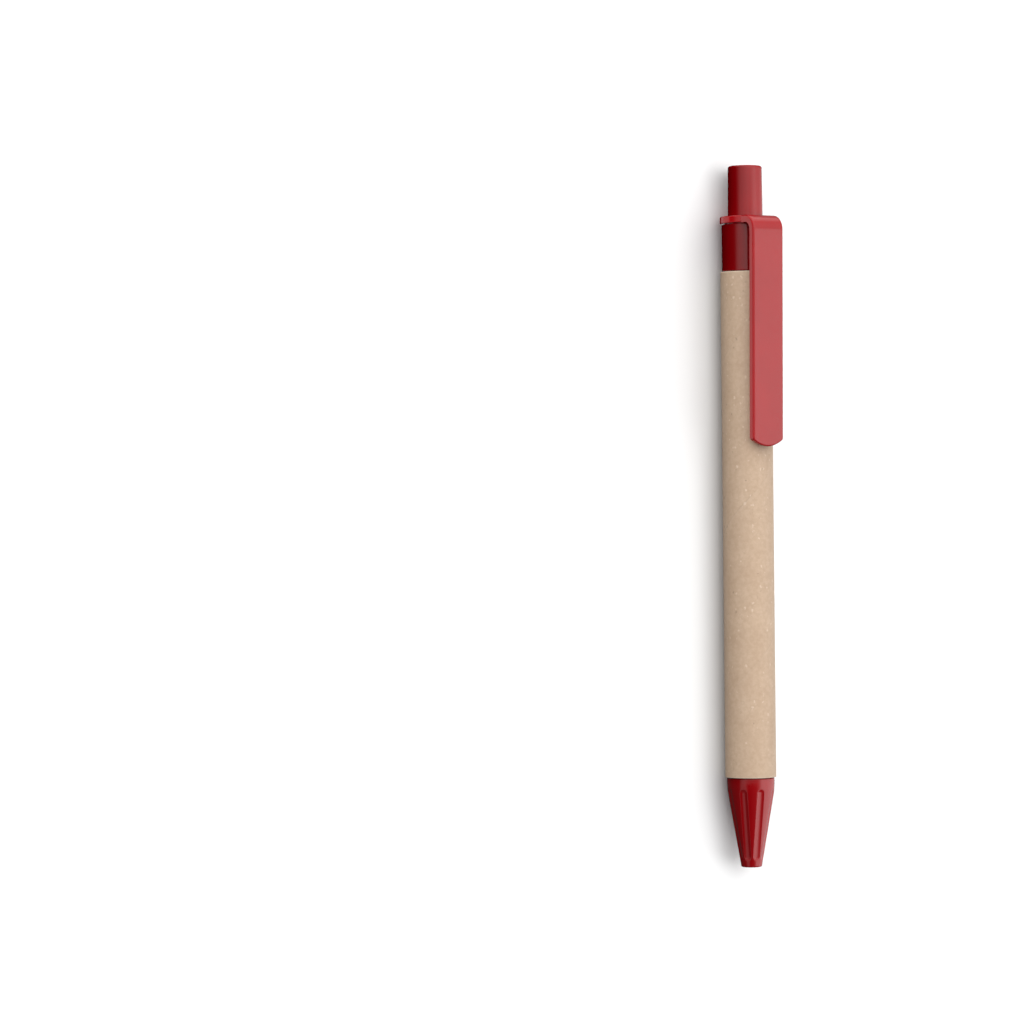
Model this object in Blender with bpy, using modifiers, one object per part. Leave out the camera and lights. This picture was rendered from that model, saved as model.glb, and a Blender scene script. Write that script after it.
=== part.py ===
"""Retractable ballpoint pen with a kraft-paper barrel, red plastic fittings and a click mechanism.

The pen is modelled standing on its nose. A station is a height above the nose end, and a radius
is a distance from the pen's axis. The empty pen_axis then lays the pen on its side, so that the
nose points along +X, the button along -X and the clip up along +Z.
"""

import math

import bmesh
import bpy

MM = 0.001

# Fits
FACE_GAP = 0.15 * MM      # between faces that meet end to end
SLIDE_GAP = 0.1 * MM      # round a piece that slides in a bore
PRESS_GAP = 0.15 * MM     # round a spigot in the paper barrel

# Paper barrel
BARREL_RADIUS = 5.1 * MM
BARREL_BORE = 3.95 * MM
BARREL_START = 17.9 * MM
BARREL_END = 118.6 * MM
BARREL_EDGE = 0.2 * MM

# Nose cone
NOSE_END_RADIUS = 2.03 * MM
NOSE_BASE_RADIUS = 4.75 * MM
NOSE_HALF_ANGLE = math.radians(9.9)
NOSE_BLEND_RADIUS = 15.0 * MM
NOSE_EDGE = 0.3 * MM
NOSE_HOLE = 1.25 * MM
SPIGOT_RADIUS = BARREL_BORE - PRESS_GAP
NOSE_SPIGOT_TOP = 27.0 * MM
SPRING_SEAT = 6.0 * MM
SPRING_POCKET = 2.4 * MM
FLUTE_COUNT = 8
FLUTE_DEPTH = 0.22 * MM
FLUTE_RADIUS = 1.4 * MM          # section of the bar that cuts a flute
FLUTE_LOW = 1.95 * MM            # centres of the bar's round ends
FLUTE_HIGH = 14.7 * MM
NOSE_TURN = math.radians(-8.0)   # first flute, measured from the clip

# Rear fitting, which houses the click mechanism
FITTING_TOP = 128.05 * MM
FITTING_BOTTOM = 98.0 * MM
FITTING_BORE = 3.35 * MM
FITTING_EDGE = 0.2 * MM
BUTTON_WELL = 4.1 * MM
WELL_BOTTOM = 119.9 * MM
RIB_BOTTOM = 108.4 * MM
RIB_RADIUS = 2.55 * MM
GROOVE_REACH = 3.25 * MM
GROOVE_WIDTH = 2.4 * MM
RIB_WIDTH = 2.2 * MM
RIB_SLOPE_RISE = 1.0 * MM
CUT_OVERRUN = 0.1 * MM

# Clip collar
COLLAR_BOTTOM = 128.2 * MM
COLLAR_TOP = 129.6 * MM
COLLAR_RADIUS = 5.1 * MM
COLLAR_HOLE = 3.6 * MM
COLLAR_EDGE = 0.25 * MM
COLLAR_SPIGOT_RADIUS = 3.98 * MM
COLLAR_SPIGOT_BOTTOM = 126.9 * MM
ARM_START = 3.75 * MM
ARM_END = 5.3 * MM

# Clip blade
CLIP_WIDTH = 7.2 * MM
CLIP_THICKNESS = 1.5 * MM
CLIP_FACE_TOP = 8.1 * MM         # outer face from the axis, just below the bend
CLIP_FACE_END = 7.5 * MM         # outer face from the axis, at the free end
CLIP_END = 83.7 * MM
CLIP_END_SAGITTA = 1.4 * MM
CLIP_EDGE = 0.4 * MM
CLIP_ROOT = ARM_END + FACE_GAP
CLIP_BEND = CLIP_FACE_TOP - CLIP_ROOT
BEAD_CENTRE = 87.2 * MM
BEAD_FLAT = 0.5 * MM
BEAD_HALF = 1.5 * MM
BEAD_FACE = BARREL_RADIUS + 0.3 * MM

# Push button
BUTTON_TOP = 139.9 * MM
BUTTON_RADIUS = 3.5 * MM
BUTTON_TOP_RADIUS = 3.38 * MM
BUTTON_CROWN = 0.2 * MM
BUTTON_FLAT = 1.6 * MM
BUTTON_EDGE = 0.45 * MM
BUTTON_BORE = 1.75 * MM
BUTTON_BORE_TOP = 136.0 * MM
BUTTON_FLANGE = 4.0 * MM
FLANGE_TOP = COLLAR_SPIGOT_BOTTOM - SLIDE_GAP
FLANGE_BOTTOM = 126.0 * MM

# Cam plunger
PLUNGER_RADIUS = 2.4 * MM
PLUNGER_BOTTOM = 113.1 * MM
STEM_RADIUS = BUTTON_BORE - PRESS_GAP
KEY_REACH = 3.05 * MM
KEY_WIDTH = 1.5 * MM
KEY_BOTTOM = 114.4 * MM
KEY_TOP = 119.4 * MM
PIN_BORE = 0.9 * MM
PIN_BORE_TOP = 118.6 * MM
PLUNGER_TOOTH = 0.8 * MM
TOOTH_COUNT = 8

# Cam rotor
ROTOR_BOTTOM = 104.5 * MM
ROTOR_TOP = PLUNGER_BOTTOM - FACE_GAP
ROTOR_TOOTH = 0.6 * MM
FIN_BOTTOM = 108.9 * MM
FIN_LOW = 111.6 * MM
FIN_HIGH = 112.8 * MM
FIN_INNER = 1.95 * MM
FIN_COUNT = 4
PIN_RADIUS = 0.75 * MM
PIN_TOP = 118.0 * MM
SOCKET_RADIUS = 1.6 * MM

# Refill, a standard 107 mm tube with a metal point
TUBE_RADIUS = 1.5 * MM
TUBE_BORE = 1.0 * MM
TUBE_START = 12.6 * MM
TUBE_END = 109.0 * MM
EAR_START = 28.1 * MM
EAR_HEIGHT = 1.1 * MM
EAR_REACH = 2.15 * MM
EAR_WIDTH = 0.6 * MM
TIP_RADIUS = 1.15 * MM
TIP_SHOULDER = 6.6 * MM
TIP_NECK_RADIUS = 0.72 * MM
TIP_NECK_TOP = 4.2 * MM
TIP_RIM_RADIUS = 0.58 * MM
TIP_TAIL_RADIUS = 0.9 * MM
TIP_TAIL_TOP = 15.6 * MM
TIP_INK_BORE = 0.55 * MM
TIP_FEED_BORE = 0.22 * MM
TIP_FEED_TOP = 3.4 * MM
BALL_RADIUS = 0.5 * MM
BALL_STATION = 2.1 * MM
BALL_SOCKET = 0.56 * MM
BALL_RIM_OFFSET = 0.3 * MM
INK_RADIUS = 0.9 * MM
INK_TOP = 84.0 * MM
GREASE_TOP = 87.4 * MM

# Return spring
SPRING_START = 6.35 * MM
SPRING_END = 27.85 * MM
SPRING_MEAN_RADIUS = 1.88 * MM
SPRING_WIRE = 0.21 * MM
SPRING_ACTIVE_TURNS = 8
SPRING_DEAD_PITCH = 0.52 * MM
SPRING_POINTS_PER_TURN = 10

# Facets round the turned pieces
OUTER_STEPS = 32
INNER_STEPS = 20
AXIS_MERGE = 0.002 * MM

# A facet of the barrel lies flat on the ground
AXIS_HEIGHT = BARREL_RADIUS * math.cos(math.pi / OUTER_STEPS)

# Colours (linear), roughness and metallic value of each material
KRAFT = ((0.56, 0.41, 0.28, 1.0), 0.85, 0.0)
RED = ((0.44, 0.012, 0.018, 1.0), 0.18, 0.0)
WHITE_PLASTIC = ((0.80, 0.80, 0.78, 1.0), 0.35, 0.0)
BLACK_PLASTIC = ((0.03, 0.03, 0.035, 1.0), 0.35, 0.0)
STEEL = ((0.62, 0.62, 0.64, 1.0), 0.25, 1.0)
BRASS = ((0.72, 0.55, 0.26, 1.0), 0.28, 1.0)
TUBE_PLASTIC = ((0.75, 0.76, 0.78, 1.0), 0.3, 0.0)
INK = ((0.01, 0.015, 0.10, 1.0), 0.2, 0.0)
GREASE = ((0.70, 0.66, 0.48, 1.0), 0.25, 0.0)
CARBIDE = ((0.35, 0.35, 0.37, 1.0), 0.15, 1.0)


# ---------------------------------------------------------------- scene helpers

def clear_scene():
    for item in list(bpy.data.objects):
        bpy.data.objects.remove(item, do_unlink=True)


def new_collection(name):
    collection = bpy.data.collections.new(name)
    bpy.context.scene.collection.children.link(collection)
    return collection


def finish_of(name, values):
    """A Principled material from its colour, roughness and metallic value."""
    colour, roughness, metallic = values
    material = bpy.data.materials.new(name)
    material.use_nodes = True
    shader = material.node_tree.nodes["Principled BSDF"]
    shader.inputs["Base Color"].default_value = colour
    shader.inputs["Roughness"].default_value = roughness
    shader.inputs["Metallic"].default_value = metallic
    return material


def new_empty(name, location, parent=None):
    empty = bpy.data.objects.new(name, None)
    empty.empty_display_size = 5.0 * MM
    empty.location = location
    empty.parent = parent
    PARTS.objects.link(empty)
    return empty


def place(piece, frame):
    """Parent a piece drawn in the pen's own coordinates to one of the pen's empties."""
    piece.parent = frame
    if frame is not PEN_AXIS:
        piece.location = piece.location - frame.location


def as_part(piece, values, frame):
    """Link a piece as a visible sub-part with its own material."""
    PARTS.objects.link(piece)
    piece.data.materials.append(finish_of(piece.name, values))
    piece.data.shade_smooth()
    piece.data.set_sharp_from_angle(angle=math.radians(35))
    place(piece, frame)


def as_cutter(piece):
    """Link a piece as a hidden tool for Booleans."""
    CUTTERS.objects.link(piece)
    piece.hide_render = True
    piece.display_type = "WIRE"
    place(piece, PEN_AXIS)
    return piece


def boolean(piece, tool, operation):
    modifier = piece.modifiers.new(tool.name, "BOOLEAN")
    modifier.operation = operation
    modifier.solver = "EXACT"
    modifier.object = tool


# ---------------------------------------------------------------- shape helpers

def arc(centre, radius, start, end, segments):
    """Points on an arc in (radius, station) space; angles in degrees from +radius."""
    points = []
    for i in range(segments + 1):
        angle = math.radians(start + (end - start) * i / segments)
        points.append((centre[0] + radius * math.cos(angle), centre[1] + radius * math.sin(angle)))
    return points


def turned(name, outline, steps, solid_core=False):
    """A solid turned about the axis; its outline runs down the outer side."""
    mesh = bpy.data.meshes.new(name)
    vertices = [(radius, 0.0, station) for radius, station in outline]
    edges = [(i, i + 1) for i in range(len(vertices) - 1)]
    if not solid_core:
        edges.append((len(vertices) - 1, 0))
    mesh.from_pydata(vertices, edges, [])
    piece = bpy.data.objects.new(name, mesh)
    screw = piece.modifiers.new("turn", "SCREW")
    screw.axis = "Z"
    screw.steps = steps
    screw.render_steps = steps
    screw.use_smooth_shade = True
    screw.use_merge_vertices = solid_core
    screw.merge_threshold = AXIS_MERGE
    piece.rotation_euler.z = math.pi / steps
    return piece


def box(name, size, centre, turn=0.0):
    """A box on the pen's axis frame, turned about that axis after it is placed."""
    mesh = bpy.data.meshes.new(name)
    shape = bmesh.new()
    bmesh.ops.create_cube(shape, size=1.0)
    bmesh.ops.scale(shape, vec=size, verts=shape.verts)
    bmesh.ops.translate(shape, vec=centre, verts=shape.verts)
    shape.to_mesh(mesh)
    shape.free()
    piece = bpy.data.objects.new(name, mesh)
    piece.rotation_euler.z = turn
    return piece


def wedge(name, inner, outer, width, bottom, low, high, turn):
    """A radial block whose top slopes across its width, from low to high."""
    size = (outer - inner, width, high - bottom)
    centre = ((inner + outer) / 2, 0.0, (bottom + high) / 2)
    piece = box(name, size, centre, turn)
    for vertex in piece.data.vertices:
        if vertex.co.z > centre[2] and vertex.co.y < 0.0:
            vertex.co.z = low
    return piece


def plate(name, outline, half_thickness, rotation):
    """A flat outline given a thickness, as a closed mesh."""
    curve = bpy.data.curves.new(name, "CURVE")
    curve.dimensions = "2D"
    curve.fill_mode = "BOTH"
    curve.extrude = half_thickness
    spline = curve.splines.new("POLY")
    spline.points.add(len(outline) - 1)
    for point, (across, along) in zip(spline.points, outline):
        point.co = (across, along, 0.0, 1.0)
    spline.use_cyclic_u = True
    guide = bpy.data.objects.new(name + "_curve", curve)
    guide.rotation_euler = rotation
    return mesh_from_curve(name, guide)


def mesh_from_curve(name, guide):
    """The closed mesh of a curve object, which it replaces."""
    bpy.context.scene.collection.objects.link(guide)
    bpy.context.view_layer.update()
    depsgraph = bpy.context.evaluated_depsgraph_get()
    mesh = bpy.data.meshes.new_from_object(guide.evaluated_get(depsgraph))
    mesh.name = name
    shape = bmesh.new()
    shape.from_mesh(mesh)
    bmesh.ops.remove_doubles(shape, verts=shape.verts, dist=AXIS_MERGE)
    bmesh.ops.recalc_face_normals(shape, faces=shape.faces)
    shape.to_mesh(mesh)
    shape.free()
    piece = bpy.data.objects.new(name, mesh)
    piece.matrix_world = guide.matrix_world
    bpy.data.objects.remove(guide, do_unlink=True)
    return piece


def cut_crown(piece, station, outward, depth, length):
    """Cut eight V notches into an end face, with four square bars laid across the axis.

    outward is 1 where the end faces the button and -1 where it faces the nose.
    """
    side = 2.0 * depth
    for i in range(TOOTH_COUNT // 2):
        bar = box(f"{piece.name}_notch_{i}", (length, side, side), (0.0, 0.0, 0.0))
        bar.rotation_euler = (math.radians(45), 0.0, i * 2.0 * math.pi / TOOTH_COUNT)
        reach = side / math.sqrt(2.0)
        bar.location.z = station + outward * (reach - depth)
        boolean(piece, as_cutter(bar), "DIFFERENCE")


# ---------------------------------------------------------------- barrel body

def paper_barrel():
    low, high = BARREL_START, BARREL_END
    outline = [
        (BARREL_RADIUS - BARREL_EDGE, high),
        (BARREL_RADIUS, high - BARREL_EDGE),
        (BARREL_RADIUS, low + BARREL_EDGE),
        (BARREL_RADIUS - BARREL_EDGE, low),
        (BARREL_BORE, low),
        (BARREL_BORE, high),
    ]
    as_part(turned("paper_barrel", outline, OUTER_STEPS), KRAFT, PEN_AXIS)


def nose_outline():
    shoulder = BARREL_START - FACE_GAP
    slope = math.tan(NOSE_HALF_ANGLE)
    corner = (NOSE_BASE_RADIUS - NOSE_END_RADIUS) / slope
    tangent = NOSE_BLEND_RADIUS * math.tan(NOSE_HALF_ANGLE / 2)
    centre = (NOSE_BASE_RADIUS - NOSE_BLEND_RADIUS, corner + tangent)
    blend = arc(centre, NOSE_BLEND_RADIUS, 0.0, -math.degrees(NOSE_HALF_ANGLE), 3)
    return [
        (SPIGOT_RADIUS - NOSE_EDGE, NOSE_SPIGOT_TOP),
        (SPIGOT_RADIUS, NOSE_SPIGOT_TOP - NOSE_EDGE),
        (SPIGOT_RADIUS, shoulder),
        (NOSE_BASE_RADIUS, shoulder),
        *blend,
        (NOSE_END_RADIUS + slope * NOSE_EDGE, NOSE_EDGE),
        (NOSE_END_RADIUS - NOSE_EDGE, 0.0),
        (NOSE_HOLE, 0.0),
        (NOSE_HOLE, SPRING_SEAT),
        (SPRING_POCKET, SPRING_SEAT),
        (SPRING_POCKET, NOSE_SPIGOT_TOP),
    ]


def flute_cutter(index):
    """A round-ended bar, laid along the cone and sunk by the flute's depth."""
    length = (FLUTE_HIGH - FLUTE_LOW) / math.cos(NOSE_HALF_ANGLE)
    top = arc((0.0, length), FLUTE_RADIUS, 90.0, 0.0, 5)
    bottom = arc((0.0, 0.0), FLUTE_RADIUS, 0.0, -90.0, 5)
    cutter = turned(f"flute_{index}", [*top, *bottom], 24, solid_core=True)
    surface = NOSE_END_RADIUS + math.tan(NOSE_HALF_ANGLE) * FLUTE_LOW
    stand_off = surface + (FLUTE_RADIUS - FLUTE_DEPTH) / math.cos(NOSE_HALF_ANGLE)
    turn = NOSE_TURN + index * 2.0 * math.pi / FLUTE_COUNT
    cutter.rotation_euler = (0.0, NOSE_HALF_ANGLE, turn)
    cutter.location = (stand_off * math.cos(turn), stand_off * math.sin(turn), FLUTE_LOW)
    return as_cutter(cutter)


def nose_cone():
    piece = turned("nose_cone", nose_outline(), OUTER_STEPS)
    for index in range(FLUTE_COUNT):
        boolean(piece, flute_cutter(index), "DIFFERENCE")
    as_part(piece, RED, PEN_AXIS)


def rear_fitting():
    """Housing with a well for the button and four ribs that catch the rotor's fins."""
    shoulder = BARREL_END + FACE_GAP
    outline = [
        (NOSE_BASE_RADIUS - FITTING_EDGE, FITTING_TOP),
        (NOSE_BASE_RADIUS, FITTING_TOP - FITTING_EDGE),
        (NOSE_BASE_RADIUS, shoulder),
        (SPIGOT_RADIUS, shoulder),
        (SPIGOT_RADIUS, FITTING_BOTTOM),
        (FITTING_BORE, FITTING_BOTTOM),
        (FITTING_BORE, RIB_BOTTOM),
        (RIB_RADIUS, RIB_BOTTOM),
        (RIB_RADIUS, WELL_BOTTOM),
        (BUTTON_WELL, WELL_BOTTOM),
        (BUTTON_WELL, FITTING_TOP),
    ]
    piece = turned("rear_fitting", outline, OUTER_STEPS)
    height = WELL_BOTTOM - RIB_BOTTOM + 2.0 * CUT_OVERRUN
    middle = (WELL_BOTTOM + RIB_BOTTOM) / 2
    for i in range(2):
        size = (2.0 * GROOVE_REACH, GROOVE_WIDTH, height)
        groove = box(f"fitting_groove_{i}", size, (0.0, 0.0, middle), i * math.pi / 2)
        boolean(piece, as_cutter(groove), "DIFFERENCE")
    for i in range(FIN_COUNT):
        turn = math.pi / 4 + i * math.pi / 2
        slope = wedge(f"rib_slope_{i}", RIB_RADIUS - 2.0 * CUT_OVERRUN, GROOVE_REACH, RIB_WIDTH,
                      RIB_BOTTOM - 2.0 * CUT_OVERRUN, RIB_BOTTOM - CUT_OVERRUN,
                      RIB_BOTTOM + RIB_SLOPE_RISE, turn)
        boolean(piece, as_cutter(slope), "DIFFERENCE")
    as_part(piece, RED, PEN_AXIS)


def clip_collar():
    """Ring between the fitting and the button, with the root of the clip's arm."""
    outline = [
        (COLLAR_RADIUS - COLLAR_EDGE, COLLAR_TOP),
        (COLLAR_RADIUS, COLLAR_TOP - COLLAR_EDGE),
        (COLLAR_RADIUS, COLLAR_BOTTOM),
        (COLLAR_SPIGOT_RADIUS, COLLAR_BOTTOM),
        (COLLAR_SPIGOT_RADIUS, COLLAR_SPIGOT_BOTTOM),
        (COLLAR_HOLE, COLLAR_SPIGOT_BOTTOM),
        (COLLAR_HOLE, COLLAR_TOP),
    ]
    piece = turned("clip_collar", outline, OUTER_STEPS)
    size = (ARM_END - ARM_START, CLIP_WIDTH, COLLAR_TOP - COLLAR_BOTTOM)
    centre = ((ARM_START + ARM_END) / 2, 0.0, (COLLAR_TOP + COLLAR_BOTTOM) / 2)
    boolean(piece, as_cutter(box("collar_arm", size, centre)), "UNION")
    as_part(piece, RED, PEN_AXIS)


def return_spring():
    """Compression spring with one closed turn at each end."""
    active_pitch = (SPRING_END - SPRING_START - 2.0 * SPRING_DEAD_PITCH - 2.0 * SPRING_WIRE)
    active_pitch /= SPRING_ACTIVE_TURNS
    turns = SPRING_ACTIVE_TURNS + 2
    count = turns * SPRING_POINTS_PER_TURN + 1
    curve = bpy.data.curves.new("return_spring", "CURVE")
    curve.dimensions = "3D"
    curve.bevel_depth = SPRING_WIRE
    curve.bevel_resolution = 2
    curve.use_fill_caps = True
    spline = curve.splines.new("POLY")
    spline.points.add(count - 1)
    station = SPRING_START + SPRING_WIRE
    for i, point in enumerate(spline.points):
        turn = i / SPRING_POINTS_PER_TURN
        angle = 2.0 * math.pi * turn
        point.co = (SPRING_MEAN_RADIUS * math.cos(angle), SPRING_MEAN_RADIUS * math.sin(angle),
                    station, 1.0)
        dead = turn < 1.0 or turn >= turns - 1
        station += (SPRING_DEAD_PITCH if dead else active_pitch) / SPRING_POINTS_PER_TURN
    guide = bpy.data.objects.new("return_spring_curve", curve)
    as_part(mesh_from_curve("return_spring", guide), STEEL, PEN_AXIS)


# ---------------------------------------------------------------- clip body

def blade_underside(station):
    """Distance of the blade's inner face from the axis."""
    share = (station - CLIP_END) / (COLLAR_TOP - CLIP_BEND - CLIP_END)
    return CLIP_FACE_END + share * (CLIP_FACE_TOP - CLIP_FACE_END) - CLIP_THICKNESS


def clip_side_outline():
    """The clip from the side: arm root, bend, blade and grip bead, in (radius, station)."""
    centre = (CLIP_ROOT, COLLAR_TOP - CLIP_BEND)
    outer = arc(centre, CLIP_BEND, 90.0, 0.0, 6)
    inner = arc(centre, CLIP_BEND - CLIP_THICKNESS, 0.0, 90.0, 4)
    bead_start, bead_end = BEAD_CENTRE - BEAD_HALF, BEAD_CENTRE + BEAD_HALF
    bead = [
        (blade_underside(bead_start), bead_start),
        (BEAD_FACE, BEAD_CENTRE - BEAD_FLAT),
        (BEAD_FACE, BEAD_CENTRE + BEAD_FLAT),
        (blade_underside(bead_end), bead_end),
    ]
    end = [(CLIP_FACE_END, CLIP_END), (blade_underside(CLIP_END), CLIP_END)]
    return [*outer, *end, *bead, *inner]


def clip_face_outline():
    """The clip from the front, in (width, station): straight sides and a shallow round end."""
    half = CLIP_WIDTH / 2
    radius = (half ** 2 + CLIP_END_SAGITTA ** 2) / (2.0 * CLIP_END_SAGITTA)
    spread = math.degrees(math.asin(half / radius))
    end = arc((0.0, CLIP_END + radius), radius, -90.0 - spread, -90.0 + spread, 8)
    above = COLLAR_TOP + CLIP_BEND
    return [(half, above), (-half, above), *end]


def clip_blade():
    upright = (math.radians(90), 0.0, 0.0)
    facing = (math.radians(90), 0.0, math.radians(90))
    piece = plate("clip_blade", clip_side_outline(), CLIP_WIDTH, upright)
    outline = plate("clip_face", clip_face_outline(), 2.0 * CLIP_FACE_TOP, facing)
    boolean(piece, as_cutter(outline), "INTERSECT")
    edges = piece.modifiers.new("edges", "BEVEL")
    edges.width = CLIP_EDGE
    edges.segments = 2
    edges.limit_method = "ANGLE"
    edges.angle_limit = math.radians(60)
    root = (CLIP_ROOT - FACE_GAP / 2, 0.0, (COLLAR_TOP + COLLAR_BOTTOM) / 2)
    as_part(piece, RED, new_empty("clip_hinge", root, PEN_AXIS))


# ---------------------------------------------------------------- push button body

def push_button(frame):
    edge_centre = (BUTTON_TOP_RADIUS - BUTTON_EDGE, BUTTON_TOP - BUTTON_CROWN - BUTTON_EDGE)
    outline = [
        (0.0, BUTTON_TOP),
        (BUTTON_FLAT, BUTTON_TOP),
        *arc(edge_centre, BUTTON_EDGE, 90.0, 0.0, 3),
        (BUTTON_RADIUS, COLLAR_TOP),
        (BUTTON_RADIUS, FLANGE_TOP),
        (BUTTON_FLANGE, FLANGE_TOP),
        (BUTTON_FLANGE, FLANGE_BOTTOM),
        (BUTTON_BORE, FLANGE_BOTTOM),
        (BUTTON_BORE, BUTTON_BORE_TOP),
        (0.0, BUTTON_BORE_TOP),
    ]
    as_part(turned("push_button", outline, OUTER_STEPS, solid_core=True), RED, frame)


def cam_plunger(frame):
    """Stem that the button is pressed on, with four keys and a toothed lower end."""
    shoulder = FLANGE_BOTTOM - FACE_GAP
    outline = [
        (0.0, BUTTON_BORE_TOP - FACE_GAP),
        (STEM_RADIUS, BUTTON_BORE_TOP - FACE_GAP),
        (STEM_RADIUS, shoulder),
        (PLUNGER_RADIUS, shoulder),
        (PLUNGER_RADIUS, PLUNGER_BOTTOM),
        (PIN_BORE, PLUNGER_BOTTOM),
        (PIN_BORE, PIN_BORE_TOP),
        (0.0, PIN_BORE_TOP),
    ]
    piece = turned("cam_plunger", outline, INNER_STEPS, solid_core=True)
    cut_crown(piece, PLUNGER_BOTTOM, -1.0, PLUNGER_TOOTH, 4.0 * PLUNGER_RADIUS)
    key_middle = (KEY_BOTTOM + KEY_TOP) / 2
    inner = (PIN_BORE + PLUNGER_RADIUS) / 2
    for i in range(FIN_COUNT):
        size = (KEY_REACH - inner, KEY_WIDTH, KEY_TOP - KEY_BOTTOM)
        centre = ((KEY_REACH + inner) / 2, 0.0, key_middle)
        key = box(f"plunger_key_{i}", size, centre, i * math.pi / 2)
        boolean(piece, as_cutter(key), "UNION")
    as_part(piece, WHITE_PLASTIC, frame)


# ---------------------------------------------------------------- cam rotor body

def cam_rotor(frame):
    """Indexing rotor: four sloped fins, a toothed upper end, a pin and a socket for the refill."""
    socket_top = TUBE_END + FACE_GAP
    outline = [
        (0.0, ROTOR_TOP),
        (PLUNGER_RADIUS, ROTOR_TOP),
        (PLUNGER_RADIUS, ROTOR_BOTTOM),
        (SOCKET_RADIUS, ROTOR_BOTTOM),
        (SOCKET_RADIUS, socket_top),
        (0.0, socket_top),
    ]
    piece = turned("cam_rotor", outline, INNER_STEPS, solid_core=True)
    cut_crown(piece, ROTOR_TOP, 1.0, ROTOR_TOOTH, 4.0 * PLUNGER_RADIUS)
    pin_outline = [
        (0.0, PIN_TOP),
        (PIN_RADIUS, PIN_TOP),
        (PIN_RADIUS, socket_top + 2.0 * PIN_RADIUS),
        (0.0, socket_top + 2.0 * PIN_RADIUS),
    ]
    pin = turned("rotor_pin", pin_outline, INNER_STEPS, solid_core=True)
    boolean(piece, as_cutter(pin), "UNION")
    for i in range(FIN_COUNT):
        fin = wedge(f"rotor_fin_{i}", FIN_INNER, KEY_REACH, KEY_WIDTH,
                    FIN_BOTTOM, FIN_LOW, FIN_HIGH, i * math.pi / 2)
        boolean(piece, as_cutter(fin), "UNION")
    as_part(piece, BLACK_PLASTIC, frame)


# ---------------------------------------------------------------- refill body

def refill_tube(frame):
    """Ink tube with two crimped ears that carry the spring."""
    outline = [
        (TUBE_RADIUS, TUBE_END),
        (TUBE_RADIUS, TUBE_START),
        (TUBE_BORE, TUBE_START),
        (TUBE_BORE, TUBE_END),
    ]
    piece = turned("refill_tube", outline, INNER_STEPS)
    inner = (TUBE_BORE + TUBE_RADIUS) / 2
    for i in range(2):
        turn = math.pi / 2 + i * math.pi
        ear = wedge(f"tube_ear_{i}", inner, EAR_REACH, EAR_WIDTH,
                    EAR_START, EAR_START + EAR_HEIGHT, EAR_START + EAR_HEIGHT, turn)
        boolean(piece, as_cutter(ear), "UNION")
    as_part(piece, TUBE_PLASTIC, frame)


def refill_tip(frame):
    """Metal point with a ball socket, an ink bore and a tail pressed into the tube."""
    shoulder = TUBE_START - FACE_GAP
    rim_angle = math.degrees(math.asin(BALL_RIM_OFFSET / BALL_SOCKET))
    seat_angle = math.degrees(math.acos(TIP_FEED_BORE / BALL_SOCKET))
    outline = [
        (TIP_TAIL_RADIUS, TIP_TAIL_TOP),
        (TIP_TAIL_RADIUS, shoulder),
        (TIP_RADIUS, shoulder),
        (TIP_RADIUS, TIP_SHOULDER),
        (TIP_NECK_RADIUS, TIP_NECK_TOP),
        (TIP_NECK_RADIUS, BALL_STATION + BALL_RADIUS),
        (TIP_RIM_RADIUS, BALL_STATION - BALL_RIM_OFFSET),
        *arc((0.0, BALL_STATION), BALL_SOCKET, -rim_angle, seat_angle, 4),
        (TIP_FEED_BORE, TIP_FEED_TOP),
        (TIP_INK_BORE, TIP_FEED_TOP + TIP_INK_BORE),
        (TIP_INK_BORE, TIP_TAIL_TOP),
    ]
    as_part(turned("refill_tip", outline, INNER_STEPS), BRASS, frame)


def plug(name, bottom, top, values, frame):
    """A short column of fluid that fills the bore of the tube."""
    outline = [
        (0.0, top),
        (INK_RADIUS, top),
        (INK_RADIUS, bottom),
        (0.0, bottom),
    ]
    as_part(turned(name, outline, INNER_STEPS, solid_core=True), values, frame)


# ---------------------------------------------------------------- writing ball body

def writing_ball():
    mesh = bpy.data.meshes.new("writing_ball")
    shape = bmesh.new()
    bmesh.ops.create_uvsphere(shape, u_segments=16, v_segments=10, radius=BALL_RADIUS)
    shape.to_mesh(mesh)
    shape.free()
    piece = bpy.data.objects.new("writing_ball", mesh)
    piece.location.z = BALL_STATION
    centre = new_empty("ball_centre", (0.0, 0.0, BALL_STATION), PEN_AXIS)
    as_part(piece, CARBIDE, centre)


# ---------------------------------------------------------------- assembly

clear_scene()
PARTS = new_collection("ballpoint_pen")
CUTTERS = new_collection("cutters")
PEN_AXIS = new_empty("pen_axis", (BUTTON_TOP / 2, 0.0, AXIS_HEIGHT))
PEN_AXIS.rotation_euler = (0.0, math.radians(-90), 0.0)
BUTTON_SLIDE = new_empty("button_slide", (0.0, 0.0, COLLAR_TOP), PEN_AXIS)
ROTOR_SLIDE = new_empty("rotor_slide", (0.0, 0.0, ROTOR_BOTTOM), PEN_AXIS)
REFILL_SLIDE = new_empty("refill_slide", (0.0, 0.0, TUBE_START), PEN_AXIS)

paper_barrel()
nose_cone()
rear_fitting()
clip_collar()
return_spring()
clip_blade()
push_button(BUTTON_SLIDE)
cam_plunger(BUTTON_SLIDE)
cam_rotor(ROTOR_SLIDE)
refill_tube(REFILL_SLIDE)
refill_tip(REFILL_SLIDE)
plug("ink_column", TIP_TAIL_TOP + FACE_GAP, INK_TOP, INK, REFILL_SLIDE)
plug("grease_follower", INK_TOP + FACE_GAP, GREASE_TOP, GREASE, REFILL_SLIDE)
writing_ball()
bpy.context.view_layer.update()
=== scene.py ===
"""Fine surfaces, finishes, light and camera for the retractable ballpoint pen."""

import math

import bmesh
import bpy
import numpy as np
from mathutils import Matrix, Vector


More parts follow.
